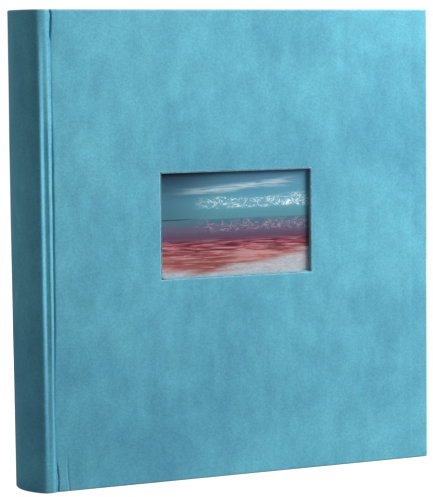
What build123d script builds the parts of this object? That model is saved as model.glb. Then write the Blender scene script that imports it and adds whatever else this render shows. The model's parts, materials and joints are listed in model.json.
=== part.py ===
"""Case-bound scrapbook album with a picture window, closed and standing on its tail edges.

Millimetres. +Z runs from tail to head, the front cover faces -Y, the spine is towards -X and the
fore edge towards +X. The origin is the centre of the album's footprint, on the surface it stands on.

A cover is described by its distance from the covers' hinge-side edge (along) and by its depth from
its own outer face (depth). Back pieces are the front ones mirrored in the XZ plane.
"""

from math import sqrt
import os

from build123d import *

# ---------------------------------------------------------------- driving dimensions
HEIGHT = 320.0  # covers, tail to head
COVER_WIDTH = 282.0  # covered board, hinge-side edge to fore edge
CLOTH = 0.6  # nubuck-finish covering cloth
BOARD = 2.6  # greyboard in the covers
PASTEDOWN = 0.2  # endpaper
SPINE_STIFFENER = 1.6  # flexible board in the round spine
COVER_EDGE_ROUND = 1.0  # roundness of the covered edges
SQUARE = 4.0  # how far the covers stand out past the leaves
TURN_IN = 15.0  # cloth folded over the inside of the boards

LEAF_COUNT = 30
LEAF_PITCH = 1.3  # leaf to leaf at the binding
LEAF_CARD = 0.4
LEAF_START = 17.4  # block's back to the fold line of the middle leaves
FOLD_STAGGER = 3.5  # outermost leaves fold this much nearer the spine
SPACER_SETBACK = 1.2  # spacers stop this far short of the fold line
GUARD_SETBACK = 0.5  # guards stop this far short of the fold line
LEAF_SETBACK = 0.3  # leaves start this far past the fold line

WINDOW_WIDTH = 113.2
WINDOW_HEIGHT = 72.2
WINDOW_FROM_HINGE = 76.4  # hinge-side edge of the cover to the opening
WINDOW_FROM_TAIL = 138.4
PICTURE_LAP = 5.0  # how far the picture runs on behind the board
PICTURE = 0.25
POCKET_CLEARANCE = 0.5

JOINT = 7.0  # width of the cloth joint between spine and cover
JOINT_GAP = 0.4  # open seam between the joint cloth and the cover
SPINE_REACH = 20.0  # spine's outermost point, from the covers' hinge-side edge
SHOULDER_REACH = 9.4  # where the spine's round meets the line of its ridges, from the hinge side
SPINE_PROUD = 1.2  # the spine's two ridges stand out past the cover faces
RIDGE_ROUND = 3.5  # roundness of those ridges
STIFFENER_SETBACK = 1.2  # stiffener stops this far inside the spine cloth's edge
GROOVE_DEPTH = 0.8  # bottom of the joint's groove below the cover face
ROLL_RISE = 0.15  # top of the roll of cloth beside the groove, above the cover face

BLOCK_BACK = 8.9  # block's back edge, from the covers' hinge-side edge
MULL = 0.3
MULL_WING_GAP = 0.5  # wings end this far from the covers' hinge-side edge
LINER = 0.4
LINER_MARGIN = 6.0  # mull and liner stop this far short of the block's ends, for the headbands
HEADBAND_TAPE = 0.7
HEADBAND_BEAD = 2.2  # diameter

FLYLEAF_GAP = 0.15  # endpaper to its neighbours
PASTEDOWN_MARGIN = 3.0  # cover's edge to the pastedown
PASTEDOWN_START = 1.0
INFILL_GAP = 0.5  # infill card to the folded-in cloth

# ---------------------------------------------------------------- worked out from them
INNER_FACE = CLOTH + BOARD + CLOTH
COVER = INNER_FACE + PASTEDOWN
BLOCK_DEPTH = COVER + 2 * FLYLEAF_GAP + PASTEDOWN  # cover face to the block of leaves
BLOCK = LEAF_COUNT * LEAF_PITCH
THICKNESS = BLOCK + 2 * BLOCK_DEPTH  # over the covers
HALF = THICKNESS / 2
SPINE_RISE = SPINE_REACH - SHOULDER_REACH
SPINE_RADIUS = ((HALF + SPINE_PROUD) ** 2 + SPINE_RISE**2) / (2 * SPINE_RISE)
HINGE_SIDE = (SPINE_REACH - COVER_WIDTH) / 2  # X of the covers' hinge-side edges
WINDOW_ALONG = (WINDOW_FROM_HINGE, WINDOW_FROM_HINGE + WINDOW_WIDTH)
WINDOW_UP = (WINDOW_FROM_TAIL, WINDOW_FROM_TAIL + WINDOW_HEIGHT)


def slab(along, depth, up):
    """Block between two distances from the hinge side, two depths and two heights."""
    size = [high - low for low, high in (along, depth, up)]
    corner = (HINGE_SIDE + along[0], depth[0] - HALF, up[0])
    return Pos(*corner) * Box(*size, align=(Align.MIN, Align.MIN, Align.MIN))


def grown(span, by):
    return (span[0] - by, span[1] + by)


def window_slab(depth, by=0.0):
    return slab(grown(WINDOW_ALONG, by), depth, grown(WINDOW_UP, by))


def to_back(piece):
    return mirror(piece, about=Plane.XZ)


# ---------------------------------------------------------------- covers
def board(window):
    inside = (CLOTH, COVER_WIDTH - CLOTH)
    piece = slab(inside, (CLOTH, CLOTH + BOARD), (CLOTH, HEIGHT - CLOTH))
    if window:
        piece -= window_slab((0, COVER), CLOTH)
    return piece


def cover_cloth(window):
    """One skin over the board: outer face, edges, turned-in margins and the window's lining."""
    block = slab((0, COVER_WIDTH), (0, INNER_FACE), (0, HEIGHT))
    hinge_side = block.faces().sort_by(Axis.X)[0].edges()
    rounded = [edge for edge in block.edges() if edge not in hinge_side]
    skin = fillet(rounded, COVER_EDGE_ROUND)
    skin -= board(window=False)
    open_back = (CLOTH + BOARD, INNER_FACE)
    skin -= slab((0, COVER_WIDTH - TURN_IN), open_back, (TURN_IN, HEIGHT - TURN_IN))
    if window:
        skin += window_slab((0, CLOTH + BOARD), CLOTH) - window_slab((0, COVER))
        skin -= window_slab((0, CLOTH))
    return skin


def infill(window):
    """Card that levels the board's inside between the turned-in margins."""
    along = (PASTEDOWN_START, COVER_WIDTH - TURN_IN - INFILL_GAP)
    up = (TURN_IN + INFILL_GAP, HEIGHT - TURN_IN - INFILL_GAP)
    piece = slab(along, (CLOTH + BOARD, INNER_FACE), up)
    if window:
        piece -= window_slab((0, COVER), PICTURE_LAP + POCKET_CLEARANCE)
    return piece


def pastedown():
    along = (PASTEDOWN_START, COVER_WIDTH - PASTEDOWN_MARGIN)
    return slab(along, (INNER_FACE, COVER), (PASTEDOWN_MARGIN, HEIGHT - PASTEDOWN_MARGIN))


def flyleaf():
    start = COVER + FLYLEAF_GAP
    along = (PASTEDOWN_START, COVER_WIDTH - SQUARE)
    return slab(along, (start, start + PASTEDOWN), (SQUARE, HEIGHT - SQUARE))


# ---------------------------------------------------------------- spine
def spine_core(inset, up):
    """Solid of the round spine's section, this far inside its outer surface."""
    centre = HINGE_SIDE - SPINE_REACH + SPINE_RADIUS
    ridge = HALF + SPINE_PROUD - inset
    radius = SPINE_RADIUS - inset
    shoulder = centre - sqrt(radius**2 - ridge**2)
    corner_back = Vector(shoulder, ridge)
    corner_front = Vector(shoulder, -ridge)
    crown = Vector(centre - radius, 0)
    arc = ThreePointArc(corner_back, crown, corner_front)
    sides = Polyline(corner_front, (HINGE_SIDE, -ridge), (HINGE_SIDE, ridge), corner_back)
    section = make_face([arc, sides])
    shoulders = section.vertices().sort_by(Axis.X)[:2]
    section = fillet(shoulders, RIDGE_ROUND - inset)
    return Pos(0, 0, up[0]) * extrude(section, up[1] - up[0])


def spine_layer(outside, inside, edge, up):
    """Curved sheet between two insets, ending this far from the covers' hinge-side edge."""
    layer = spine_core(outside, up) - spine_core(inside, up)
    reach = (-SPINE_REACH - 1, -edge)
    across = grown((0, THICKNESS), SPINE_PROUD + 1)
    return layer & slab(reach, across, up)


def spine_board():
    up = (CLOTH, HEIGHT - CLOTH)
    return spine_layer(CLOTH, CLOTH + SPINE_STIFFENER, JOINT + STIFFENER_SETBACK, up)


def spine_cloth():
    """Outer skin, closed over the stiffener's ends and turned in along its inside."""
    inner = CLOTH + SPINE_STIFFENER
    skin = spine_layer(0, CLOTH, JOINT, (0, HEIGHT))
    for tail, head in ((0, CLOTH), (HEIGHT - CLOTH, HEIGHT)):
        skin += spine_layer(CLOTH, inner, JOINT + STIFFENER_SETBACK, (tail, head))
    for tail, head in ((0, TURN_IN), (HEIGHT - TURN_IN, HEIGHT)):
        skin += spine_layer(inner, inner + CLOTH, JOINT + STIFFENER_SETBACK, (tail, head))
    return skin


def joint_cloth():
    """Wavy strip of cloth from the spine's ridge, down a groove, over a roll to the cover."""
    outer = [
        (-JOINT, -SPINE_PROUD),
        (-0.70 * JOINT, GROOVE_DEPTH),
        (-0.36 * JOINT, -ROLL_RISE),
        (-JOINT_GAP, GROOVE_DEPTH),
    ]
    points = [Vector(HINGE_SIDE + along, depth - HALF) for along, depth in outer]
    face_line = Spline(points)
    under_line = Spline([point + Vector(0, CLOTH) for point in points])
    ends = [Line(face_line @ end, under_line @ end) for end in (0, 1)]
    return extrude(make_face([face_line, under_line, *ends]), HEIGHT)


# ---------------------------------------------------------------- block
def leaf_depth(index):
    return BLOCK_DEPTH + (index + 0.5) * LEAF_PITCH


def fold_line(index):
    """Distance of a leaf's fold line from the hinge side: the outer leaves fold earlier."""
    half = LEAF_COUNT // 2
    steps_out = half - 1 - index if index < half else index - half
    return LEAF_START - BLOCK_BACK - FOLD_STAGGER * (steps_out / (half - 1)) ** 2


def leaf_height():
    return (SQUARE, HEIGHT - SQUARE)


def leaf(index):
    middle = leaf_depth(index)
    along = (fold_line(index) + LEAF_SETBACK, COVER_WIDTH - SQUARE)
    return slab(along, grown((middle, middle), LEAF_CARD / 2), leaf_height())


def leaf_guards():
    """Bound-in strips that carry the leaves, one each."""
    guards = []
    for index in range(LEAF_COUNT):
        middle = leaf_depth(index)
        along = (-BLOCK_BACK, fold_line(index) - GUARD_SETBACK)
        guards.append(slab(along, grown((middle, middle), LEAF_CARD / 2), leaf_height()))
    return Compound(children=guards)


def spacer_strips():
    """Card strips between the guards, which leave room for mounted pictures."""
    spacers = []
    for index in range(LEAF_COUNT + 1):
        low = leaf_depth(index - 1) + LEAF_CARD / 2 if index else BLOCK_DEPTH
        high = leaf_depth(index) - LEAF_CARD / 2 if index < LEAF_COUNT else BLOCK_DEPTH + BLOCK
        beside = [other for other in (index - 1, index) if 0 <= other < LEAF_COUNT]
        end = min(fold_line(other) for other in beside) - SPACER_SETBACK
        spacers.append(slab((-BLOCK_BACK, end), (low, high), leaf_height()))
    return Compound(children=spacers)


def spine_mull():
    """Gauze glued over the block's back, with a wing on each shoulder."""
    up = (SQUARE + LINER_MARGIN, HEIGHT - SQUARE - LINER_MARGIN)
    block = (BLOCK_DEPTH, BLOCK_DEPTH + BLOCK)
    wrap = slab((-BLOCK_BACK - MULL, -MULL_WING_GAP), grown(block, MULL), up)
    return wrap - slab((-BLOCK_BACK, COVER_WIDTH), block, up)


def spine_liner():
    back = -BLOCK_BACK - MULL
    up = (SQUARE + LINER_MARGIN, HEIGHT - SQUARE - LINER_MARGIN)
    return slab((back - LINER, back), (BLOCK_DEPTH, BLOCK_DEPTH + BLOCK), up)


def headband_top():
    """Tape glued on the block's back with its beaded edge seated on the block's head."""
    head = HEIGHT - SQUARE
    block = (BLOCK_DEPTH, BLOCK_DEPTH + BLOCK)
    tape = slab((-BLOCK_BACK - HEADBAND_TAPE, -BLOCK_BACK), block, (head - LINER_MARGIN, head))
    bead = Cylinder(HEADBAND_BEAD / 2, BLOCK, rotation=(90, 0, 0))
    bead = Pos(HINGE_SIDE - BLOCK_BACK, 0, head) * bead
    above = slab((-SPINE_REACH, COVER_WIDTH), (0, THICKNESS), (head, HEIGHT))
    return tape + (bead & above)


def headband_bottom():
    return Pos(0, 0, HEIGHT) * mirror(headband_top(), about=Plane.XY)


# ---------------------------------------------------------------- nodes
def window_picture():
    start = CLOTH + BOARD
    return window_slab((start, start + PICTURE), PICTURE_LAP)


def picture_backing():
    return window_slab((CLOTH + BOARD + PICTURE, INNER_FACE), PICTURE_LAP)


nodes = {
    "front_board": board(window=True),
    "front_cover_cloth": cover_cloth(window=True),
    "front_infill": infill(window=True),
    "front_pastedown": pastedown(),
    "front_flyleaf": flyleaf(),
    "window_picture": window_picture(),
    "picture_backing": picture_backing(),
    "back_board": to_back(board(window=False)),
    "back_cover_cloth": to_back(cover_cloth(window=False)),
    "back_infill": to_back(infill(window=False)),
    "back_pastedown": to_back(pastedown()),
    "back_flyleaf": to_back(flyleaf()),
    "spine_board": spine_board(),
    "spine_cloth": spine_cloth(),
    "front_joint_cloth": joint_cloth(),
    "back_joint_cloth": to_back(joint_cloth()),
    "leaf_guards": leaf_guards(),
    "spacer_strips": spacer_strips(),
    "spine_mull": spine_mull(),
    "spine_liner": spine_liner(),
    "headband_top": headband_top(),
    "headband_bottom": headband_bottom(),
}
for number in range(LEAF_COUNT):
    nodes[f"leaf_{number + 1:02d}"] = leaf(number)

os.makedirs("parts", exist_ok=True)
for name, piece in nodes.items():
    piece.label = name
    export_step(piece, f"parts/{name}.step")
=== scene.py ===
"""Scrapbook album with a picture window: everything that shows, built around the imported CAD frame.

Metres, in the CAD's frame: +Z runs from tail to head, the front cover faces -Y, the spine is
towards -X. Sizes are written in millimetres times MM. A place on a cover is given by its distance
from the covers' hinge-side edge (along), its depth inward from the outer face, and its height. A
place on the case is also given by its distance from the spine's crown along the cloth (run).

Each piece that is built here keeps its rest position in the attribute "rest", which its material
reads, so that the grain stays on the piece when a cover opens. Pieces from the CAD are rigid, and
their materials read the piece's own coordinates.
"""

import json
import math

import bpy
from mathutils import Matrix, Vector, noise


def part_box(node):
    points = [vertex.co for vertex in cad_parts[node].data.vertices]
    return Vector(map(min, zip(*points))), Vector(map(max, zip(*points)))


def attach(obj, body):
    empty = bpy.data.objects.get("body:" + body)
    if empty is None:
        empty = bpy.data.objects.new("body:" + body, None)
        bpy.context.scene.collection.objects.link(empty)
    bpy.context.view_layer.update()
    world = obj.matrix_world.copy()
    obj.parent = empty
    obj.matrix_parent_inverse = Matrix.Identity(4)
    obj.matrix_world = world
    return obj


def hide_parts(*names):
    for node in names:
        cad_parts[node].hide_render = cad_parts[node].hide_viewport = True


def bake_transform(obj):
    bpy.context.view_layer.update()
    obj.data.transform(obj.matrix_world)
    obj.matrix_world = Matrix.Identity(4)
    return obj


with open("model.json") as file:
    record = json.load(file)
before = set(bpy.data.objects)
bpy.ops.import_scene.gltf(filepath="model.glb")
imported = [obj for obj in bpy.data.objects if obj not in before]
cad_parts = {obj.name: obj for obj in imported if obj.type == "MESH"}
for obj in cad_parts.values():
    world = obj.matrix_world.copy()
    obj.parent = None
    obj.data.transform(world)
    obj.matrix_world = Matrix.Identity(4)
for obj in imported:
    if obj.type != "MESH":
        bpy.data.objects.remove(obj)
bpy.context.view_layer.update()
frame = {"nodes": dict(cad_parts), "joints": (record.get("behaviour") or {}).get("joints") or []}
nodes = frame["nodes"]
joints = {joint["child"]: joint for joint in frame["joints"]}

MM = 0.001

# ---------------------------------------------------------------- places, from the frame
cover_low, cover_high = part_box("front_cover_cloth")
spine_low, spine_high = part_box("spine_cloth")
picture_low, picture_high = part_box("window_picture")
pastedown_low, pastedown_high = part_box("front_pastedown")
flyleaf_low, flyleaf_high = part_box("front_flyleaf")
block_low, block_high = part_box("spacer_strips")

HINGE = cover_low.x  # hinge-side edge of the covers
COVER_WIDTH = cover_high.x - cover_low.x
HEIGHT = cover_high.z
HALF = -cover_low.y  # middle of the album to a cover's outer face
COVER_DEPTH = cover_high.y - cover_low.y
PICTURE_DEPTH = picture_low.y - cover_low.y
RIDGE = spine_high.y  # middle of the album to the spine's ridges
LAP = 5 * MM  # the picture runs on this far behind the board
WINDOW = (  # left and right along the cover, bottom and top
    picture_low.x + LAP - HINGE,
    picture_high.x - LAP - HINGE,
    picture_low.z + LAP,
    picture_high.z - LAP,
)

SHOULDER_REACH = 9.4 * MM  # where the spine's round meets the line of its ridges
RIDGE_ROUND = 2.0 * MM
SPINE_REACH = HINGE - spine_low.x
SPINE_RISE = SPINE_REACH - SHOULDER_REACH
SPINE_RADIUS = (RIDGE**2 + SPINE_RISE**2) / (2 * SPINE_RISE)
ROUND_ANGLE = math.asin((RIDGE - RIDGE_ROUND) / (SPINE_RADIUS - RIDGE_ROUND))
ROUND_LENGTH = SPINE_RADIUS * ROUND_ANGLE
TURN_LENGTH = RIDGE_ROUND * (math.pi / 2 - ROUND_ANGLE)
RIDGE_X = spine_low.x + SPINE_RADIUS - (SPINE_RADIUS - RIDGE_ROUND) * math.cos(ROUND_ANGLE)
COVER_START = ROUND_LENGTH + TURN_LENGTH + HINGE - RIDGE_X  # run at the covers' hinge-side edge
CASE_END = COVER_START + COVER_WIDTH  # run at the fore edge
RIDGE_TOP = (ROUND_LENGTH + TURN_LENGTH / 2 - COVER_START) / MM  # along, in millimetres

CLOTH = 0.55 * MM
EDGE_ROUND = 1.0 * MM
RIM_ROUND = 0.7 * MM
TURN_IN = 15 * MM
SPINE_DEPTH = 2.8 * MM  # cloth, stiffener and turned-in cloth
JOINT_DEPTH = 1.3 * MM  # cloth and turned-in cloth
CLOSE = 0.04 * MM  # mesh lines nearer than this are one
CLOSE_TO_RIM = 0.06 * MM


# ---------------------------------------------------------------- helpers
def smooth(value, low, high):
    """0 before low, 1 after high, smooth between."""
    t = min(1.0, max(0.0, (value - low) / (high - low)))
    return t * t * (3 - 2 * t)


def bump(value, middle, width):
    return math.exp(-(((value - middle) / width) ** 2))


def along_height(z, stops):
    """Smooth curve through (height, value) pairs, in millimetres up the album."""
    up = z / MM
    for (low, a), (high, b) in zip(stops, stops[1:]):
        if up <= high:
            return a + (b - a) * smooth(up, low, high)
    return stops[-1][1]


def steps(low, high, size):
    """Evenly spaced values from low to high, no further apart than size."""
    count = max(1, math.ceil((high - low) / size - 1e-6))
    return [low + (high - low) * i / count for i in range(count + 1)]


def merged(*lists):
    """One rising list of the values, without near doubles."""
    values = []
    for value in sorted(v for part in lists for v in part):
        if not values or value - values[-1] > CLOSE:
            values.append(value)
    return values


def keep_clear(values, edges):
    """Drops values that crowd an exact edge, and keeps the edge itself."""
    kept = [v for v in values if all(abs(v - e) < 1e-9 or abs(v - e) > CLOSE_TO_RIM for e in edges)]
    return sorted(set(kept) | set(edges))


def nearest(values, target):
    return min(range(len(values)), key=lambda i: abs(values[i] - target))


def rough(x, y, scale, seed):
    """Smooth noise, about -1 to 1, with features this size."""
    return noise.noise(Vector((x / scale + seed, y / scale - seed, seed * 0.7)))


def new_mesh(name, points, faces, material):
    mesh = bpy.data.meshes.new(name)
    mesh.from_pydata([tuple(p) for p in points], [], faces)
    mesh.validate()
    mesh.update()
    rest = mesh.attributes.new("rest", "FLOAT_VECTOR", "POINT")
    rest.data.foreach_set("vector", [c for v in mesh.vertices for c in v.co])
    for face in mesh.polygons:
        face.use_smooth = True
    mesh.materials.append(material)
    piece = bpy.data.objects.new(name, mesh)
    bpy.context.scene.collection.objects.link(piece)
    return piece


def thicken(piece, thickness, offset):
    solidify = piece.modifiers.new("thickness", "SOLIDIFY")
    solidify.thickness = thickness
    solidify.offset = offset
    solidify.use_even_offset = False
    return piece


def ribbon(name, line, heights, thickness, material, sway=0.0):
    """Upright sheet over a line in plan, with its thickness centred on the line. Away from the
    hinge it sways by up to this much, in waves that differ from sheet to sheet."""
    seed = sum(map(ord, name)) % 97
    points = []
    for z in heights:
        for x, y in line:
            lean = sway * rough(x, z, 90 * MM, seed)
            free = smooth(x, HINGE + 20 * MM, HINGE + 90 * MM)
            points.append((x, y + lean * free, z))
    columns = len(line)
    faces = [
        (j * columns + i, j * columns + i + 1, (j + 1) * columns + i + 1, (j + 1) * columns + i)
        for j in range(len(heights) - 1)
        for i in range(columns - 1)
    ]
    return thicken(new_mesh(name, points, faces, material), thickness, 0)


def bend_over_joint(piece):
    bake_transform(piece)


# ---------------------------------------------------------------- material building
def wire(tree, item, values):
    """Sets a node's inputs, each to a constant or to another node's output."""
    for key, value in values.items():
        socket = item.inputs[key]
        if isinstance(value, bpy.types.NodeSocket):
            tree.links.new(value, socket)
        else:
            socket.default_value = value
    return item


def calc(tree, operation, *values):
    item = tree.nodes.new("ShaderNodeMath")
    item.operation = operation
    return wire(tree, item, dict(enumerate(values))).outputs[0]


def rgb(red, green, blue):
    """An sRGB colour of 0 to 255 as the linear colour that a shader takes."""

    def linear(c):
        c /= 255
        return c / 12.92 if c <= 0.04045 else ((c + 0.055) / 1.055) ** 2.4

    return (linear(red), linear(green), linear(blue), 1.0)


class Finish:
    """A Principled material in the making. Its methods add nodes, and those that work out a value
    or a colour return it."""

    def __init__(self, name, built=True):
        """built is True for pieces that are built here and False for the CAD's."""
        self.material = bpy.data.materials.new(name)
        self.material.use_nodes = True
        self.tree = self.material.node_tree
        self.shader = self.tree.nodes["Principled BSDF"]
        if built:
            self.place = self.attribute("rest", "Vector")
        else:
            self.place = self.tree.nodes.new("ShaderNodeTexCoord").outputs["Object"]

    def attribute(self, name, output):
        item = self.tree.nodes.new("ShaderNodeAttribute")
        item.attribute_name = name
        return item.outputs[output]

    def axes(self):
        item = self.tree.nodes.new("ShaderNodeSeparateXYZ")
        return wire(self.tree, item, {0: self.place}).outputs

    def plus(self, a, b):
        return calc(self.tree, "ADD", a, b)

    def minus(self, a, b):
        return calc(self.tree, "SUBTRACT", a, b)

    def larger(self, a, b):
        return calc(self.tree, "MAXIMUM", a, b)

    def times(self, *values):
        product = values[0]
        for value in values[1:]:
            product = calc(self.tree, "MULTIPLY", product, value)
        return product

    def distance(self, a, b):
        return calc(self.tree, "ABSOLUTE", self.minus(a, b))

    def wave(self, value, factor):
        return calc(self.tree, "SINE", self.times(value, factor))

    def span(self, value, low, high, to_low=0.0, to_high=1.0):
        """value carried from low..high to to_low..to_high, smoothly and clamped."""
        item = self.tree.nodes.new("ShaderNodeMapRange")
        item.interpolation_type = "SMOOTHSTEP"
        values = {"Value": value, "From Min": low, "From Max": high}
        values.update({"To Min": to_low, "To Max": to_high})
        return wire(self.tree, item, values).outputs[0]

    def share(self, value, low, high):
        """How far value has come from low to high, in a straight line that isn't clamped."""
        item = self.tree.nodes.new("ShaderNodeMapRange")
        item.clamp = False
        values = {"Value": value, "From Min": low, "From Max": high}
        return wire(self.tree, item, values).outputs[0]

    def texture(self, mapping, scale, detail, roughness, distortion):
        """Noise from 0 to 1 over mapped coordinates, with features of about 1/scale."""
        moved = wire(self.tree, self.tree.nodes.new("ShaderNodeMapping"), mapping)
        item = self.tree.nodes.new("ShaderNodeTexNoise")
        values = {"Vector": moved.outputs[0], "Scale": scale, "Detail": detail}
        values.update({"Roughness": roughness, "Distortion": distortion})
        return wire(self.tree, item, values).outputs["Fac"]

    def grain(self, scale, detail=2.0, roughness=0.5, stretch=(1, 1, 1), distortion=0.0):
        """Noise from 0 to 1 that stays on the piece, with features of about 1/scale metres."""
        mapping = {"Vector": self.place, "Scale": stretch}
        return self.texture(mapping, scale, detail, roughness, distortion)

    def mixed(self, factor, a, b, kind="MIX"):
        """Colour a where factor is 0, b where it is 1."""
        item = self.tree.nodes.new("ShaderNodeMix")
        item.data_type = "RGBA"
        item.blend_type = kind
        return wire(self.tree, item, {0: factor, 6: a, 7: b}).outputs[2]

    def grey(self, value):
        item = self.tree.nodes.new("ShaderNodeCombineColor")
        return wire(self.tree, item, {0: value, 1: value, 2: value}).outputs[0]

    def surface(self, inputs):
        wire(self.tree, self.shader, inputs)

    def raised(self, height, distance, strength):
        item = self.tree.nodes.new("ShaderNodeBump")
        wire(self.tree, item, {"Height": height, "Distance": distance, "Strength": strength})
        self.surface({"Normal": item.outputs[0]})


# ---------------------------------------------------------------- materials
def nubuck():
    """Cloudy teal nubuck-effect cloth: short brushed nap, pale at worn edges, which also carry a
    painted highlight where they catch the light.
    """
    look = Finish("nubuck_cloth")
    drift = look.grain(7)
    clouds = look.grain(22, 4, 0.55, distortion=0.6)
    patches = look.grain(55, 3, 0.6, distortion=0.8)
    strokes = look.grain(90, 3, 0.6, stretch=(1, 1, 0.35))
    pores = look.grain(600, 1)
    scuffs = look.grain(680, 2, 0.6)
    nap = look.grain(1500, 2, 0.7)

    mottle = look.plus(look.times(clouds, 0.38), look.times(drift, 0.62))
    mottle = look.plus(mottle, look.times(look.minus(strokes, 0.5), 0.3))
    tone = look.span(mottle, 0.3, 0.72)
    colour = look.mixed(tone, (0.085, 0.342, 0.502, 1), (0.149, 0.520, 0.678, 1))
    shade = look.times(
        look.span(nap, 0.25, 0.75, 0.90, 1.09),
        look.span(patches, 0.3, 0.7, 0.955, 1.04),
        look.span(scuffs, 0.3, 0.7, 0.92, 1.07),
    )
    colour = look.mixed(1.0, colour, look.grey(shade), "MULTIPLY")
    # Pale edges: partly real rubbing, partly a painted highlight on the edges and the window's rim
    # that catch the light.
    rubbed_and_lit = look.times(look.attribute("wear", "Fac"), look.span(pores, 0.3, 0.7, 0.5, 1.0))
    look.surface({
        "Base Color": look.mixed(rubbed_and_lit, colour, (0.55, 0.80, 0.84, 1)),
        "Roughness": look.span(clouds, 0.3, 0.7, 0.82, 0.94),
        "Specular IOR Level": 0.25,
        "Sheen Weight": 0.25,
        "Sheen Roughness": 0.45,
        "Sheen Tint": (0.45, 0.85, 0.95, 1),
    })
    height = look.plus(look.plus(look.times(nap, 0.7), pores), look.times(strokes, 0.8))
    look.raised(height, 0.10 * MM, 0.6)
    return look.material


def paper(name, low, high, fibre=400, roughness=0.75, built=True, depth=0.02):
    """Sheet or card: fibres and faint cloudiness between two colours."""
    look = Finish(name, built)
    clouds = look.grain(45, 3)
    fibres = look.grain(fibre, 3, 0.7, stretch=(1, 1, 0.4))
    amount = look.plus(look.times(clouds, 0.55), look.times(fibres, 0.45))
    look.surface({
        "Base Color": look.mixed(look.span(amount, 0.32, 0.68), low, high),
        "Roughness": look.span(fibres, 0.3, 0.7, roughness, roughness + 0.12),
        "Specular IOR Level": 0.3,
    })
    look.raised(fibres, depth * MM, 0.5)
    return look.material


def glassine():
    """Thin, cloudy, slightly shiny translucent paper."""
    look = Finish("glassine")
    clouds = look.grain(120, 4, 0.6)
    look.surface({
        "Base Color": look.mixed(clouds, rgb(240, 240, 234), rgb(252, 252, 248)),
        "Roughness": look.span(clouds, 0.3, 0.7, 0.35, 0.5),
        "Alpha": look.span(clouds, 0.2, 0.8, 0.50, 0.58),
    })
    look.raised(clouds, 0.05 * MM, 0.4)
    return look.material


def gauze():
    """Open-weave mull: crossing threads with dark gaps between them."""
    look = Finish("mull_gauze", built=False)
    x, y, z = look.axes()
    pitch = 1.1 * MM
    warp = calc(look.tree, "ABSOLUTE", look.wave(look.plus(x, y), math.pi / pitch))
    weft = calc(look.tree, "ABSOLUTE", look.wave(z, math.pi / pitch))
    thread = look.larger(warp, weft)
    fuzz = look.grain(900)
    shade = look.times(thread, look.span(fuzz, 0.2, 0.8, 0.8, 1.0))
    colour = look.mixed(look.span(shade, 0.35, 0.85), rgb(150, 138, 112), rgb(236, 231, 214))
    look.surface({"Base Color": colour, "Roughness": look.span(fuzz, 0.2, 0.8, 0.8, 0.95)})
    look.raised(thread, 0.15 * MM, 0.7)
    return look.material


def striped_thread():
    """Headband silk: teal and cream stripes, one after the other over the band's width."""
    look = Finish("headband_silk")
    stripe_pitch = 2.6 * MM
    stripe = look.span(look.wave(look.axes()["Y"], 2 * math.pi / stripe_pitch), -0.25, 0.25)
    fuzz = look.grain(1800, stretch=(1, 0.3, 1))
    colour = look.mixed(stripe, rgb(232, 226, 208), rgb(56, 118, 138))
    colour = look.mixed(look.span(fuzz, 0.2, 0.8, 0.0, 0.35), colour, rgb(90, 96, 96))
    look.surface({
        "Base Color": colour,
        "Roughness": look.span(fuzz, 0.3, 0.7, 0.45, 0.6),
        "Sheen Weight": 0.3,
    })
    look.raised(fuzz, 0.05 * MM, 0.5)
    return look.material


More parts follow.
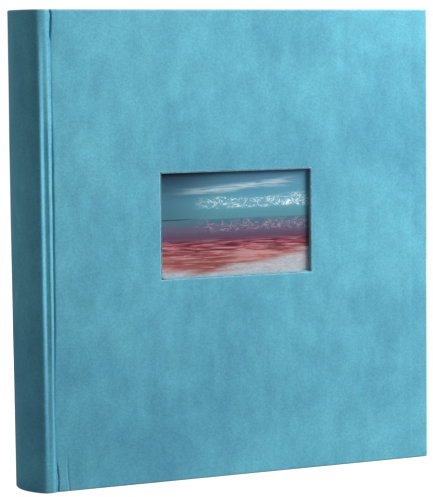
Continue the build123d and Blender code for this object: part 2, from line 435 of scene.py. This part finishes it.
class SeaPrint(Finish):
    """Photo print of a generic sea under a sky with small clouds, with red water and foam.

    u runs from 0 to 1 across the picture's visible part, and v from 0 to 1 up it."""

    def __init__(self):
        super().__init__("sea_print", built=False)
        axes = self.axes()
        left, right, bottom, top = WINDOW
        self.u = self.share(axes["X"], HINGE + left, HINGE + right)
        self.v = self.share(axes["Z"], bottom, top)
        flat = self.tree.nodes.new("ShaderNodeCombineXYZ")
        self.flat = wire(self.tree, flat, {0: self.u, 1: self.v}).outputs[0]
        self.wide = self.streaks(2.2, 7)
        self.fine = self.streaks(7, 9, seed=3.1)
        self.tiny = self.streaks(26, 2.0, 3, 1.0, 5.7)
        puffs = self.streaks(17, 1.1, 3, 1.0, 1.3)
        outline = self.span(self.distance(puffs, 0.52), 0.028, 0.008)
        self.curl = self.larger(outline, self.span(puffs, 0.60, 0.66))

    def streaks(self, scale, flatness, detail=4, distortion=0.4, seed=0.0):
        """Noise that is drawn out sideways by flatness. Seed and turn choose its pattern; the turn
        comes after the stretching, so that the streaks stay level."""
        turn = math.radians(-1.5)
        mapping = {
            "Vector": self.flat,
            "Scale": (1, flatness, 1),
            "Location": (seed, seed, 0),
            "Rotation": (0, 0, turn),
        }
        return self.texture(mapping, scale, detail, 0.6, distortion)

    def wavy(self, value, amount, waves, middle=0.5):
        """value moved by an amount of the waves."""
        return self.plus(value, self.times(self.minus(waves, middle), amount))

    def sky(self):
        """Navy at the upper left, blue and teal below."""
        high = self.mixed(self.span(self.u, 0.0, 0.85), rgb(18, 42, 70), rgb(76, 124, 160))
        low = self.mixed(self.span(self.u, 0.0, 0.5), rgb(72, 122, 146), rgb(92, 164, 188))
        height = self.plus(self.v, self.times(self.wide, 0.12))
        sky = self.mixed(self.span(height, 1.12, 0.72), high, low)
        teal = self.mixed(self.span(self.u, 0, 0.4), rgb(70, 118, 138), rgb(86, 146, 164))
        return self.mixed(self.span(self.v, 0.70, 0.56), sky, teal)

    def with_cirrus(self, sky):
        """A long thin cirrus that climbs to the right."""
        line = self.wavy(self.plus(0.795, self.times(self.u, 0.10)), 0.10, self.wide)
        cirrus = self.times(
            self.span(self.distance(self.v, line), 0.05, 0.0),
            self.span(self.fine, 0.32, 0.58),
            self.span(self.u, 0.04, 0.42),
            self.span(self.u, 0.98, 0.70),
        )
        return self.mixed(self.times(cirrus, 0.85), sky, rgb(188, 214, 222))

    def with_clouds(self, sky):
        """A row of small clouds above the horizon, from a third of the way across."""
        crown = self.plus(self.wavy(0.725, 0.22, self.wide, 0.45), self.times(self.u, 0.035))
        row = self.times(
            self.span(self.v, crown, self.minus(crown, 0.05)),
            self.span(self.v, 0.63, 0.67),
            self.span(self.u, 0.20, 0.36),
        )
        haze = self.times(row, self.span(self.fine, 0.35, 0.7, 0.15, 0.6))
        sky = self.mixed(haze, sky, rgb(128, 182, 200))
        return self.mixed(self.times(row, self.curl, 0.95), sky, rgb(232, 246, 250))

    def still_water(self):
        """Grey-teal that turns to purple, and mirrors the clouds."""
        water = self.mixed(self.span(self.v, 0.53, 0.46), rgb(74, 118, 138), rgb(94, 98, 126))
        water = self.mixed(self.span(self.v, 0.47, 0.37), water, rgb(98, 74, 102))
        mirror = self.times(
            self.span(self.v, 0.56, 0.50),
            self.span(self.v, 0.40, 0.45),
            self.span(self.u, 0.18, 0.34),
            self.curl,
        )
        return self.mixed(self.times(mirror, 0.75), water, rgb(176, 150, 172))

    def red_water(self):
        """Crimson streaks that turn to rust and pink towards the bottom."""
        red = self.mixed(self.span(self.fine, 0.38, 0.62), rgb(92, 34, 52), rgb(184, 96, 110))
        rust = self.mixed(self.span(self.wide, 0.35, 0.62), rgb(134, 62, 60), rgb(190, 124, 114))
        red = self.mixed(self.times(self.span(self.v, 0.30, 0.12), 0.75), red, rust)
        pale = self.times(self.span(self.wide, 0.50, 0.64), self.span(self.v, 0.34, 0.20))
        return self.mixed(self.times(pale, 0.7), red, rgb(206, 158, 164))

    def water(self):
        """Still water, then red water with pale streaks, then foam at the lower right and left."""
        edge = self.wavy(self.v, 0.12, self.fine)
        water = self.mixed(self.span(edge, 0.38, 0.30), self.still_water(), self.red_water())
        stripe = self.times(self.span(self.fine, 0.52, 0.66), self.span(self.v, 0.38, 0.26))
        water = self.mixed(self.times(stripe, 0.7), water, rgb(206, 156, 166))
        slope = self.wavy(self.plus(self.v, self.times(self.u, -0.27)), 0.26, self.wide)
        corner = self.times(self.span(edge, 0.09, 0.04), self.span(self.u, 0.3, 0.12))
        foam = self.larger(self.span(slope, -0.02, -0.10), corner)
        spray = self.mixed(self.tiny, rgb(140, 144, 152), rgb(212, 216, 226))
        return self.mixed(foam, water, spray)

    def finished(self):
        """Sky over water, a dark far shore at the left, a little speckle, and a photo's gloss."""
        sky = self.with_clouds(self.with_cirrus(self.sky()))
        colour = self.mixed(self.span(self.v, 0.535, 0.555), self.water(), sky)
        horizon = self.plus(0.547, self.times(self.u, 0.02))
        near = self.span(self.distance(self.v, horizon), 0.010, 0.0)
        shore = self.times(near, self.span(self.u, 0.3, 0.1))
        colour = self.mixed(self.times(shore, 0.85), colour, rgb(24, 52, 62))
        speckle = self.mixed(self.tiny, (0, 0, 0, 1), (1, 1, 1, 1))
        self.surface({
            "Base Color": self.mixed(0.10, colour, speckle, "OVERLAY"),
            "Roughness": self.span(self.tiny, 0.2, 0.8, 0.28, 0.36),
            "Specular IOR Level": 0.3,
        })
        self.raised(self.tiny, 0.01 * MM, 0.2)
        return self.material


cloth = nubuck()
page_card = paper("page_card", rgb(224, 221, 211), rgb(236, 234, 226))
page_card_cut = paper("page_card_block", rgb(222, 219, 208), rgb(236, 234, 225), built=False)
endpaper = paper("endpaper", rgb(226, 221, 207), rgb(236, 232, 220), fibre=260)
greyboard = paper("greyboard", rgb(128, 122, 112), rgb(166, 160, 148), 180, 0.85, False, 0.05)
infill_card = paper("infill_card", rgb(205, 198, 182), rgb(226, 220, 206), 220, 0.85, False, 0.03)
kraft = paper("kraft_paper", rgb(158, 122, 82), rgb(190, 154, 110), 200, 0.8, False, 0.04)
clear_sheet = glassine()
mull = gauze()
silk = striped_thread()
print_paper = SeaPrint().finished()


# ---------------------------------------------------------------- case cloth: its face
# Curves of (height, value) stops, in millimetres up the album. PARTED is the share of the groove
# in the joint's profile, CREASE_DEPTH the depth of the crease beside the cover, and the others
# say where a crease runs (along, in millimetres).
PARTED = ((0, 0.1), (60, 0.45), (115, 1.0), (225, 1.0), (275, 0.35), (320, 0.0))
CREASE_DEPTH = (
    (0, 0.1), (30, 0.2), (70, 0.5), (120, 0.9), (210, 1.1), (255, 0.35), (290, 0.15), (320, 0.3),
)
CREASE = ((0, -1.6), (60, -2.4), (120, -1.0), (200, -0.6), (320, -0.6))
HEAD_CREASE = ((300, -0.9), (309, -0.3), (316, 0.1), (320, -0.5))
TAIL_CREASE = ((0, -0.3), (8, 0.2), (15, -0.5), (21, -1.3))
WEAK_CREASE = ((0, 7.6), (14, 6.6), (23, 6.4))
PLAIN_CREASE_DEPTH, PLAIN_CREASE = 1.0, -0.6  # of the unworn joint, over its whole height


def joint_profile(a, z, ripple):
    """Depth over a joint. Halfway up, a groove parts the ridge from a roll of cloth; towards head
    and tail the two run together and the ridge is rounder."""
    step = (RIDGE - HALF) / MM
    share = along_height(z, PARTED)
    groove = 0.40 * bump(a, -6.1, 0.95) - 0.75 * bump(a, -3.3 + ripple, 1.15)
    parted = step * smooth(a, -8.7, -6.4) + groove
    joined = 0.4 * (1 - smooth(a, -9.2, -5.2)) + step * smooth(a, -4.7, -1.2)
    drop = share * parted + (1 - share) * joined
    return drop + 0.34 * (1 - 0.8 * share) * bump(a, RIDGE_TOP + 0.8 * ripple, 1.5)


def end_creases(a, z):
    """The short sharp crease at a worn joint's head, and the sharp and the weak one at its tail."""
    up = z / MM
    drop = 1.5 * smooth(up, 298, 306) * bump(a, along_height(z, HEAD_CREASE), 0.42)
    drop += 1.1 * smooth(up, 22, 14) * bump(a, along_height(z, TAIL_CREASE), 0.40)
    return drop + 0.4 * smooth(up, 26, 16) * bump(a, along_height(z, WEAK_CREASE), 0.5)


def face_waves(along, z):
    """Faint waves: long ones over the cover, which lies a little lower past its turned-in cloth,
    and short ones over the spine and the joint."""
    a = along / MM
    if a > -4:
        wave = 0.11 * rough(along, z, 70 * MM, 2.0) + 0.035 * rough(along, z, 14 * MM, 6.0)
        past_turn_in = smooth(COVER_WIDTH - along, 14.2 * MM, 12.8 * MM)
        return wave * smooth(a, -4, 6) + 0.10 * past_turn_in
    ridge_wave = rough(along, z, 5 * MM, 3.0) * smooth(a, -9, -6)
    return 0.05 * rough(along, z, 25 * MM, 8.0) + 0.06 * ridge_wave


def relief(along, z, worn):
    """Depth of the cloth's face below the line of the ridges: groove, roll, creases and waves."""
    a = along / MM
    ripple = 0.26 * rough(0, z, 8 * MM, 4.0) + 0.10 * rough(0, z, 3.5 * MM, 9.0)
    drop = joint_profile(a, z, ripple)
    crease_depth, crease = PLAIN_CREASE_DEPTH, PLAIN_CREASE
    if worn:
        crease_depth, crease = along_height(z, CREASE_DEPTH), along_height(z, CREASE)
        drop += end_creases(a, z)
    drop += crease_depth * bump(a, crease + ripple, 0.75)
    if a > 0.3:
        drop = min(drop, (RIDGE - HALF) / MM + 0.45)  # the board under the cloth stops a crease
    return (drop + face_waves(along, z)) * MM


# ---------------------------------------------------------------- case cloth: its body
def plan(run):
    """Point and inward direction in plan of the case's outer line, front half."""
    if run <= ROUND_LENGTH:
        angle = run / SPINE_RADIUS
        centre = Vector((spine_low.x + SPINE_RADIUS, 0))
        radius = SPINE_RADIUS
    elif run <= ROUND_LENGTH + TURN_LENGTH:
        angle = ROUND_ANGLE + (run - ROUND_LENGTH) / RIDGE_ROUND
        centre = Vector((RIDGE_X, -(RIDGE - RIDGE_ROUND)))
        radius = RIDGE_ROUND
    else:
        return Vector((RIDGE_X + run - ROUND_LENGTH - TURN_LENGTH, -RIDGE)), Vector((0, 1))
    out = Vector((-math.cos(angle), -math.sin(angle)))
    return centre + out * radius, -out


def case_depth(along):
    """Thickness of the case here: spine, joint, cover. Round the sharp ridge it is less than the
    ridge's radius, so that the inside doesn't cross over itself."""
    depth = SPINE_DEPTH + (JOINT_DEPTH - SPINE_DEPTH) * smooth(along, -7.6 * MM, -6.8 * MM)
    depth += (COVER_DEPTH - JOINT_DEPTH) * smooth(along, -0.6 * MM, 0.4 * MM)
    run = along + COVER_START
    beside_turn = max(ROUND_LENGTH - run, run - ROUND_LENGTH - TURN_LENGTH, 0)
    return min(depth, 0.92 * RIDGE_ROUND + 2 * beside_turn)


def rounded(run, depth, z, full, radius):
    """The box of the straightened case with its head, tail and fore edges rounded."""
    near = Vector((
        min(run, CASE_END - radius),
        min(max(depth, radius), full - radius),
        min(max(z, radius), HEIGHT - radius),
    ))
    away = Vector((run, depth, z)) - near
    if away.length < 1e-9:
        return run, depth, z
    place = near + away * (radius / away.length)
    return (place.x if run > CASE_END - radius else run), place.y, place.z


def beyond_window(run, z):
    """How far a place lies outside the window, sideways and up or down. Inside it is negative."""
    left, right, bottom, top = WINDOW
    along = run - COVER_START
    return max(left - along, along - right), max(bottom - z, z - top)


def rim(run, depth, z):
    """The window's rim, rounded over: moves points that lie near it."""
    beyond_x, beyond_z = beyond_window(run, z)
    away = max(beyond_x, beyond_z)
    if away > RIM_ROUND or away < -1e-6 or depth > RIM_ROUND:
        return run, depth, z
    away = max(away, 0.0)
    back = Vector((away - RIM_ROUND, depth - RIM_ROUND))
    if back.length < 1e-9:
        return run, depth, z
    moved = back * (RIM_ROUND / back.length)
    grow = RIM_ROUND + moved.x - away
    left, right, bottom, top = WINDOW
    if beyond_x >= beyond_z - 1e-7:
        run += grow if run - COVER_START > (left + right) / 2 else -grow
    if beyond_z >= beyond_x - 1e-7:
        z += grow if z > (bottom + top) / 2 else -grow
    return run, RIM_ROUND + moved.y, z


BESIDE_EDGE = [0, 0.12 * MM, 0.3 * MM, 0.55 * MM, 0.8 * MM, EDGE_ROUND, 1.6 * MM, 3 * MM]
BESIDE_RIM = [0, 0.1 * MM, 0.25 * MM, 0.45 * MM, RIM_ROUND, 1.2 * MM]
LINING = BESIDE_RIM[:5] + [1.3 * MM, 2.2 * MM, PICTURE_DEPTH - 0.02 * MM]  # depths of its rows
SHARES = [0, 0.04, 0.09, 0.16, 0.25, 0.5, 0.75, 0.84, 0.91, 0.96, 1]  # of the case's thickness


def case_lines(window):
    """Where the mesh's lines run: along the case, and up it. They are closest over the joint, at
    the edges and round the window."""
    ridge_end = ROUND_LENGTH + TURN_LENGTH
    joint_end = COVER_START + 2 * MM
    plain_start = COVER_START + 9 * MM
    runs = [
        [0, 0.2 * MM],
        steps(0.8 * MM, ROUND_LENGTH, 1.1 * MM),
        steps(ROUND_LENGTH, ridge_end, 0.7 * MM),
        steps(ridge_end, joint_end, 0.25 * MM),
        steps(joint_end, plain_start, 0.5 * MM),
        steps(plain_start, CASE_END - 3 * MM, 4 * MM),
        [CASE_END - value for value in BESIDE_EDGE],
        [CASE_END - value for value in (TURN_IN, 14.2 * MM, 13.5 * MM, 12.8 * MM)],
    ]
    ups = [
        BESIDE_EDGE,
        [HEIGHT - value for value in BESIDE_EDGE],
        steps(3 * MM, 30 * MM, 1.5 * MM),
        steps(30 * MM, HEIGHT - 30 * MM, 4 * MM),
        steps(HEIGHT - 30 * MM, HEIGHT - 3 * MM, 1.5 * MM),
        [TURN_IN, HEIGHT - TURN_IN],
    ]
    if not window:
        return merged(*runs), merged(*ups)
    left, right, bottom, top = WINDOW
    left, right = COVER_START + left, COVER_START + right
    runs += [[left - value for value in BESIDE_RIM], [right + value for value in BESIDE_RIM]]
    ups += [[bottom - value for value in BESIDE_RIM], [top + value for value in BESIDE_RIM]]
    return keep_clear(merged(*runs), [left, right]), keep_clear(merged(*ups), [bottom, top])


class CaseHalf:
    """Half of the case's cloth, from the spine's crown to a cover's fore edge, with turned-in edges.

    It is the skin of a box (run, depth, height), bent to the plan line. i, k and j count the
    mesh's lines along it, through it and up it. side is -1 for the front and 1 for the back."""

    def __init__(self, side, window):
        self.side = side
        self.window = window
        self.runs, self.ups = case_lines(window)
        self.last_i, self.last_j = len(self.runs) - 1, len(self.ups) - 1
        self.last_k = len(SHARES) - 1
        self.points, self.faces, self.wears_and_highlights = [], [], []
        self.index = {}
        self.add_outside_and_margins()
        self.add_edges()
        if window:
            self.add_lining()

    def bent(self, run, depth, z):
        place, inward = plan(run)
        along = run - COVER_START
        drop = relief(along, z, worn=self.window)
        stiff = 1 - smooth(along, -8 * MM, -6.5 * MM)  # on the spine only the face gives way
        drop *= 1 - stiff * min(1, depth / (1.5 * MM))
        place = place + inward * (depth + drop)
        return (place.x, -self.side * place.y, z)

    def point(self, key, place, wear):
        """Number of the point with this key, which is made when it is first asked for."""
        if key not in self.index:
            self.index[key] = len(self.points)
            self.points.append(self.bent(*place))
            self.wears_and_highlights.append(wear)
        return self.index[key]

    def shell(self, i, k, j):
        """Point of the box's skin."""
        run, z = self.runs[i], self.ups[j]
        full = case_depth(run - COVER_START)
        depth = SHARES[k] * full
        edge = min(CASE_END - run, z, HEIGHT - z)
        worn_and_lit = k < self.last_k and z > 3 * MM  # not on the inside, nor at the tail, which lies in shade: the pale edge is partly real rubbing, partly painted highlight
        wear = 0.5 * bump(edge + 0.6 * depth, 0.3 * MM, 0.5 * MM) if worn_and_lit else 0.0
        place = rounded(run, depth, z, full, min(EDGE_ROUND, 0.48 * full))
        if self.window and k == 0:
            place = rim(*place)
            # The rim round the window is painted pale: a painted highlight where the rounded rim
            # catches the light, partly real rubbing.
            wear = max(wear, 0.55 * bump(max(beyond_window(run, z)), 0.2 * MM, 0.5 * MM))
        return self.point((i, k, j), place, wear)

    def wall(self, i, d, j):
        """Point of the window's lining, in the row at depth number d."""
        if d == 0:
            return self.shell(i, 0, j)
        place = rim(self.runs[i], LINING[d], self.ups[j])
        # The lining's rows next to the face are painted pale: painted highlight where the rim rounds
        # over.
        return self.point(("wall", i, d, j), place, bump(LINING[d], 0, 0.4 * MM))

    def face(self, *corners):
        self.faces.append(corners if self.side < 0 else corners[::-1])

    def in_window(self, i, j):
        run = (self.runs[i] + self.runs[i + 1]) / 2
        z = (self.ups[j] + self.ups[j + 1]) / 2
        return self.window and max(beyond_window(run, z)) < 0

    def turned_in(self, i, j):
        at_fore_edge = self.runs[i] >= CASE_END - TURN_IN - 1e-7
        at_tail = self.ups[j + 1] <= TURN_IN + 1e-7
        at_head = self.ups[j] >= HEIGHT - TURN_IN - 1e-7
        return at_fore_edge or at_tail or at_head

    def add_outside_and_margins(self):
        at, k = self.shell, self.last_k
        for i in range(self.last_i):
            for j in range(self.last_j):
                if not self.in_window(i, j):
                    self.face(at(i, 0, j), at(i + 1, 0, j), at(i + 1, 0, j + 1), at(i, 0, j + 1))
                if self.turned_in(i, j):
                    self.face(at(i, k, j), at(i, k, j + 1), at(i + 1, k, j + 1), at(i + 1, k, j))

    def add_edges(self):
        """The skin at tail and head, and at the fore edge."""
        at = self.shell
        for k in range(self.last_k):
            for i in range(self.last_i):
                j = 0
                self.face(at(i, k, j), at(i, k + 1, j), at(i + 1, k + 1, j), at(i + 1, k, j))
                j = self.last_j
                self.face(at(i, k, j), at(i + 1, k, j), at(i + 1, k + 1, j), at(i, k + 1, j))
            for j in range(self.last_j):
                i = self.last_i
                self.face(at(i, k, j), at(i, k + 1, j), at(i, k + 1, j + 1), at(i, k, j + 1))

    def add_lining(self):
        """The window's four walls."""
        at = self.wall
        left, right, bottom, top = WINDOW
        i0, i1 = nearest(self.runs, COVER_START + left), nearest(self.runs, COVER_START + right)
        j0, j1 = nearest(self.ups, bottom), nearest(self.ups, top)
        for d in range(len(LINING) - 1):
            for j in range(j0, j1):
                self.face(at(i0, d, j), at(i0, d, j + 1), at(i0, d + 1, j + 1), at(i0, d + 1, j))
                self.face(at(i1, d, j), at(i1, d + 1, j), at(i1, d + 1, j + 1), at(i1, d, j + 1))
            for i in range(i0, i1):
                self.face(at(i, d, j0), at(i, d + 1, j0), at(i + 1, d + 1, j0), at(i + 1, d, j0))
                self.face(at(i, d, j1), at(i + 1, d, j1), at(i + 1, d + 1, j1), at(i, d + 1, j1))

    def piece(self, name):
        piece = new_mesh(name, self.points, self.faces, cloth)
        # Pale edges for the cloth's colour: partly real rubbing, partly painted highlight.
        wear = piece.data.attributes.new("wear", "FLOAT", "POINT")
        wear.data.foreach_set("value", self.wears_and_highlights)
        return thicken(piece, CLOTH, -1)


for half, side in (("front", -1), ("back", 1)):
    piece = CaseHalf(side, window=half == "front").piece(f"{half}_case_cloth")
    bend_over_joint(piece)
    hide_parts(f"{half}_cover_cloth", f"{half}_joint_cloth")
    if half == "front":
        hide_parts("spine_cloth")


# ---------------------------------------------------------------- endpapers
ENDPAPER = 0.16 * MM
PASTEDOWN_START = 3.95 * MM  # depth at the block's shoulder
FLYLEAF_START = 4.12 * MM


def endpaper_line(depth_at_block, depth_on_cover, far, side):
    """Plan line from the block's shoulder across the inner joint to a cover's fore edge."""
    line = []
    for along in merged(steps(-8.5 * MM, 6 * MM, 0.6 * MM), steps(6 * MM, far, 12 * MM)):
        depth = depth_at_block + (depth_on_cover - depth_at_block) * smooth(along, -6 * MM, 2 * MM)
        line.append((HINGE + along, side * (HALF - depth)))
    return line


def endpaper_sheet(node, low, high, depths, side):
    """Sheet in place of a CAD node; low and high are the corners of the front one's box."""
    line = endpaper_line(*depths, high.x - HINGE, side)
    piece = ribbon(f"{node}_sheet", line, steps(low.z, high.z, 12 * MM), ENDPAPER, endpaper)
    bend_over_joint(piece)
    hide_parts(node)


pastedown_depths = (PASTEDOWN_START, COVER_DEPTH + ENDPAPER / 2 + 0.01 * MM)
flyleaf_depths = (FLYLEAF_START, HALF + (flyleaf_low.y + flyleaf_high.y) / 2)
for half, side in (("front", -1), ("back", 1)):
    endpaper_sheet(f"{half}_pastedown", pastedown_low, pastedown_high,
                   pastedown_depths, side)
    endpaper_sheet(f"{half}_flyleaf", flyleaf_low, flyleaf_high,
                   flyleaf_depths, side)


# ---------------------------------------------------------------- leaves and glassines
LEAF_COUNT = sum(name.startswith("leaf_") and name != "leaf_guards" for name in nodes)
CURL_COLUMNS = 28 * MM  # and has close columns over this far
ROW = 26 * MM  # height of a leaf's rows of faces
LEAF_SWAY = 0.12 * MM
GLASSINE = 0.04 * MM
GLASSINE_OFFSET = 0.4 * MM  # leaf's middle to its glassine
GLASSINE_SWAY = 0.10 * MM
FORE_EDGE_INSET = 1.5 * MM  # a glassine ends this far inside its leaf's fore edge
END_INSET = 1 * MM  # and this far inside its head and tail


def leaf_and_glassine(body, side):
    """A leaf's page and the glassine beside it, which both run out from the leaf's fold. side
    tells towards which cover the glassine lies."""
    low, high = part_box(body)
    fold = joints[body]["pos_m"][0]
    middle = (low.y + high.y) / 2
    close = steps(fold - 0.5 * MM, fold + CURL_COLUMNS, 1.4 * MM)
    columns = merged(close, steps(fold + CURL_COLUMNS, high.x, 16 * MM))

    line = [(x, middle) for x in columns]
    heights = steps(low.z, high.z, ROW)
    page = ribbon(f"{body}_page", line, heights, high.y - low.y, page_card, LEAF_SWAY)
    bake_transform(page)
    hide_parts(body)

    columns[-1] = high.x - FORE_EDGE_INSET
    line = [(x, middle + side * GLASSINE_OFFSET) for x in columns]
    heights = steps(low.z + END_INSET, high.z - END_INSET, ROW)
    sheet = ribbon(f"{body}_glassine", line, heights, GLASSINE, clear_sheet, GLASSINE_SWAY)
    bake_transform(sheet)


for number in range(1, LEAF_COUNT + 1):
    leaf_and_glassine(f"leaf_{number:02d}", -1 if number <= LEAF_COUNT // 2 else 1)


# ---------------------------------------------------------------- headbands
BEAD = 1.3 * MM  # radius over the silk
TAPE = 0.7 * MM
TAPE_REACH = 6 * MM
THREAD = 0.65 * MM  # width of one turn of silk
THREAD_SWELL = 0.14  # share of the radius between the gap beside a thread and its top


def headband(name, node, up):
    """Cord wound with silk on the block's edge, worked on a tape that is glued to its back."""
    base = block_high.z if up > 0 else block_low.z
    section = [(BEAD * math.cos(a), BEAD * math.sin(a)) for a in steps(0, math.pi, math.pi / 14)]
    wound = len(section)
    section += [(-TAPE - 0.15 * MM, -0.5 * MM), (-TAPE, -1.2 * MM), (-TAPE, -TAPE_REACH)]
    section += [(0, -TAPE_REACH), (0, 0)]
    rows = steps(block_low.y, block_high.y, THREAD / 5)
    points = []
    for y in rows:
        for n, (dx, dz) in enumerate(section):
            if n < wound:
                turn = math.pi * (y / THREAD) + 0.9 * n / wound
                swell = 1 - THREAD_SWELL + THREAD_SWELL * abs(math.sin(turn))
                dx, dz = dx * swell, dz * swell
            points.append((block_low.x + dx, y, base + up * dz))
    count = len(section)
    faces = []
    for r in range(len(rows) - 1):
        for n in range(count):
            a, b = r * count + n, r * count + (n + 1) % count
            faces.append((a, b, b + count, a + count))
    faces.append(tuple(range(count))[::-1])
    faces.append(tuple(range((len(rows) - 1) * count, len(rows) * count)))
    if up < 0:
        faces = [face[::-1] for face in faces]
    piece = new_mesh(name, points, faces, silk)
    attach(piece, "spine")
    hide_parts(node)


headband("headband_top_wound", "headband_top", 1)
headband("headband_bottom_wound", "headband_bottom", -1)


# ---------------------------------------------------------------- finishes of the CAD nodes
finishes = {
    "front_board": greyboard,
    "back_board": greyboard,
    "spine_board": greyboard,
    "front_infill": infill_card,
    "back_infill": infill_card,
    "picture_backing": infill_card,
    "window_picture": print_paper,
    "leaf_guards": page_card_cut,
    "spacer_strips": page_card_cut,
    "spine_mull": mull,
    "spine_liner": kraft,
}
for name, finish in finishes.items():
    mesh = nodes[name].data
    mesh.materials.clear()
    mesh.materials.append(finish)


# ---------------------------------------------------------------- floor, light and camera
FLOOR_REACH = 8.0
FLOOR_DROP = 0.3 * MM  # keeps the floor clear of the covers' tail edges
FLOOR_GREY = 0.30
FLOOR_GLOW = 0.94  # for the camera alone, so that the floor shows as pale as in the photo
WORLD_LIGHT = 0.166
WORLD_GLOW = 0.87  # for the camera alone, on top of WORLD_LIGHT

YAW = math.radians(24.20)  # the camera looks this far to the right of straight at the cover
PITCH = math.radians(4.99)  # downwards
ROLL = math.radians(0.62)
SENSOR = 36  # sensor and lens in millimetres
LENS = 153.78
CAMERA = (HINGE - 474.35 * MM, cover_low.y - 1315.86 * MM, 283.7 * MM)


def glow(tree, for_camera, for_all):
    """Brightness for_all rays, with for_camera added for the camera's own."""
    rays = tree.nodes.new("ShaderNodeLightPath")
    return calc(tree, "MULTIPLY_ADD", rays.outputs["Is Camera Ray"], for_camera, for_all)


def build_floor():
    low, high = -FLOOR_REACH, FLOOR_REACH
    mesh = bpy.data.meshes.new("floor")
    corners = [(low, low, 0), (high, low, 0), (high, high, 0), (low, high, 0)]
    mesh.from_pydata(corners, [], [(0, 1, 2, 3)])
    floor = bpy.data.objects.new("floor", mesh)
    floor.location.z = -FLOOR_DROP
    bpy.context.scene.collection.objects.link(floor)
    paint = bpy.data.materials.new("floor_paint")
    paint.use_nodes = True
    tree = paint.node_tree
    wire(tree, tree.nodes["Principled BSDF"], {
        "Base Color": (FLOOR_GREY, FLOOR_GREY, FLOOR_GREY, 1),
        "Roughness": 0.9,
        "Emission Color": (1, 1, 1, 1),
        "Emission Strength": glow(tree, FLOOR_GLOW, 0),
    })
    mesh.materials.append(paint)


def area_light(name, place, target, size, power, colour=(1, 1, 1)):
    light = bpy.data.lights.new(name, "AREA")
    light.shape = "SQUARE"
    light.size = size
    light.energy = power
    light.color = colour
    lamp = bpy.data.objects.new(name, light)
    lamp.location = place
    lamp.rotation_euler = (Vector(target) - Vector(place)).to_track_quat("-Z", "Y").to_euler()
    bpy.context.scene.collection.objects.link(lamp)


def build_world():
    world = bpy.data.worlds.new("studio")
    world.use_nodes = True
    tree = world.node_tree
    strength = glow(tree, WORLD_GLOW, WORLD_LIGHT)
    wire(tree, tree.nodes["Background"], {"Color": (1, 1, 1, 1), "Strength": strength})
    bpy.context.scene.world = world


def build_camera():
    """Camera with the photo's viewing angle and framing."""
    level_reach = math.cos(PITCH)
    ahead = Vector((math.sin(YAW) * level_reach, math.cos(YAW) * level_reach, -math.sin(PITCH)))
    level = Vector((math.cos(YAW), -math.sin(YAW), 0))
    below = ahead.cross(level)
    right = math.cos(ROLL) * level + math.sin(ROLL) * below
    down = -math.sin(ROLL) * level + math.cos(ROLL) * below
    lens = bpy.data.cameras.new("camera")
    lens.sensor_width = SENSOR
    lens.lens = LENS
    camera = bpy.data.objects.new("camera", lens)
    camera.matrix_world = Matrix((right, -down, -ahead)).transposed().to_4x4()
    camera.location = CAMERA
    bpy.context.scene.collection.objects.link(camera)
    bpy.context.scene.camera = camera


build_floor()
area_light("key", (0.80, -0.65, 0.85), (0.05, -0.02, 0.22), 0.6, 21.9, (1.0, 0.98, 0.94))
area_light("rim", (-1.1, 0.75, 0.80), (-0.13, 0, 0.22), 0.6, 3.1)
area_light("back", (0.70, 1.30, 0.90), (0, 0.02, 0.16), 0.8, 16)
build_world()
bpy.context.scene.view_settings.view_transform = "Standard"
build_camera()
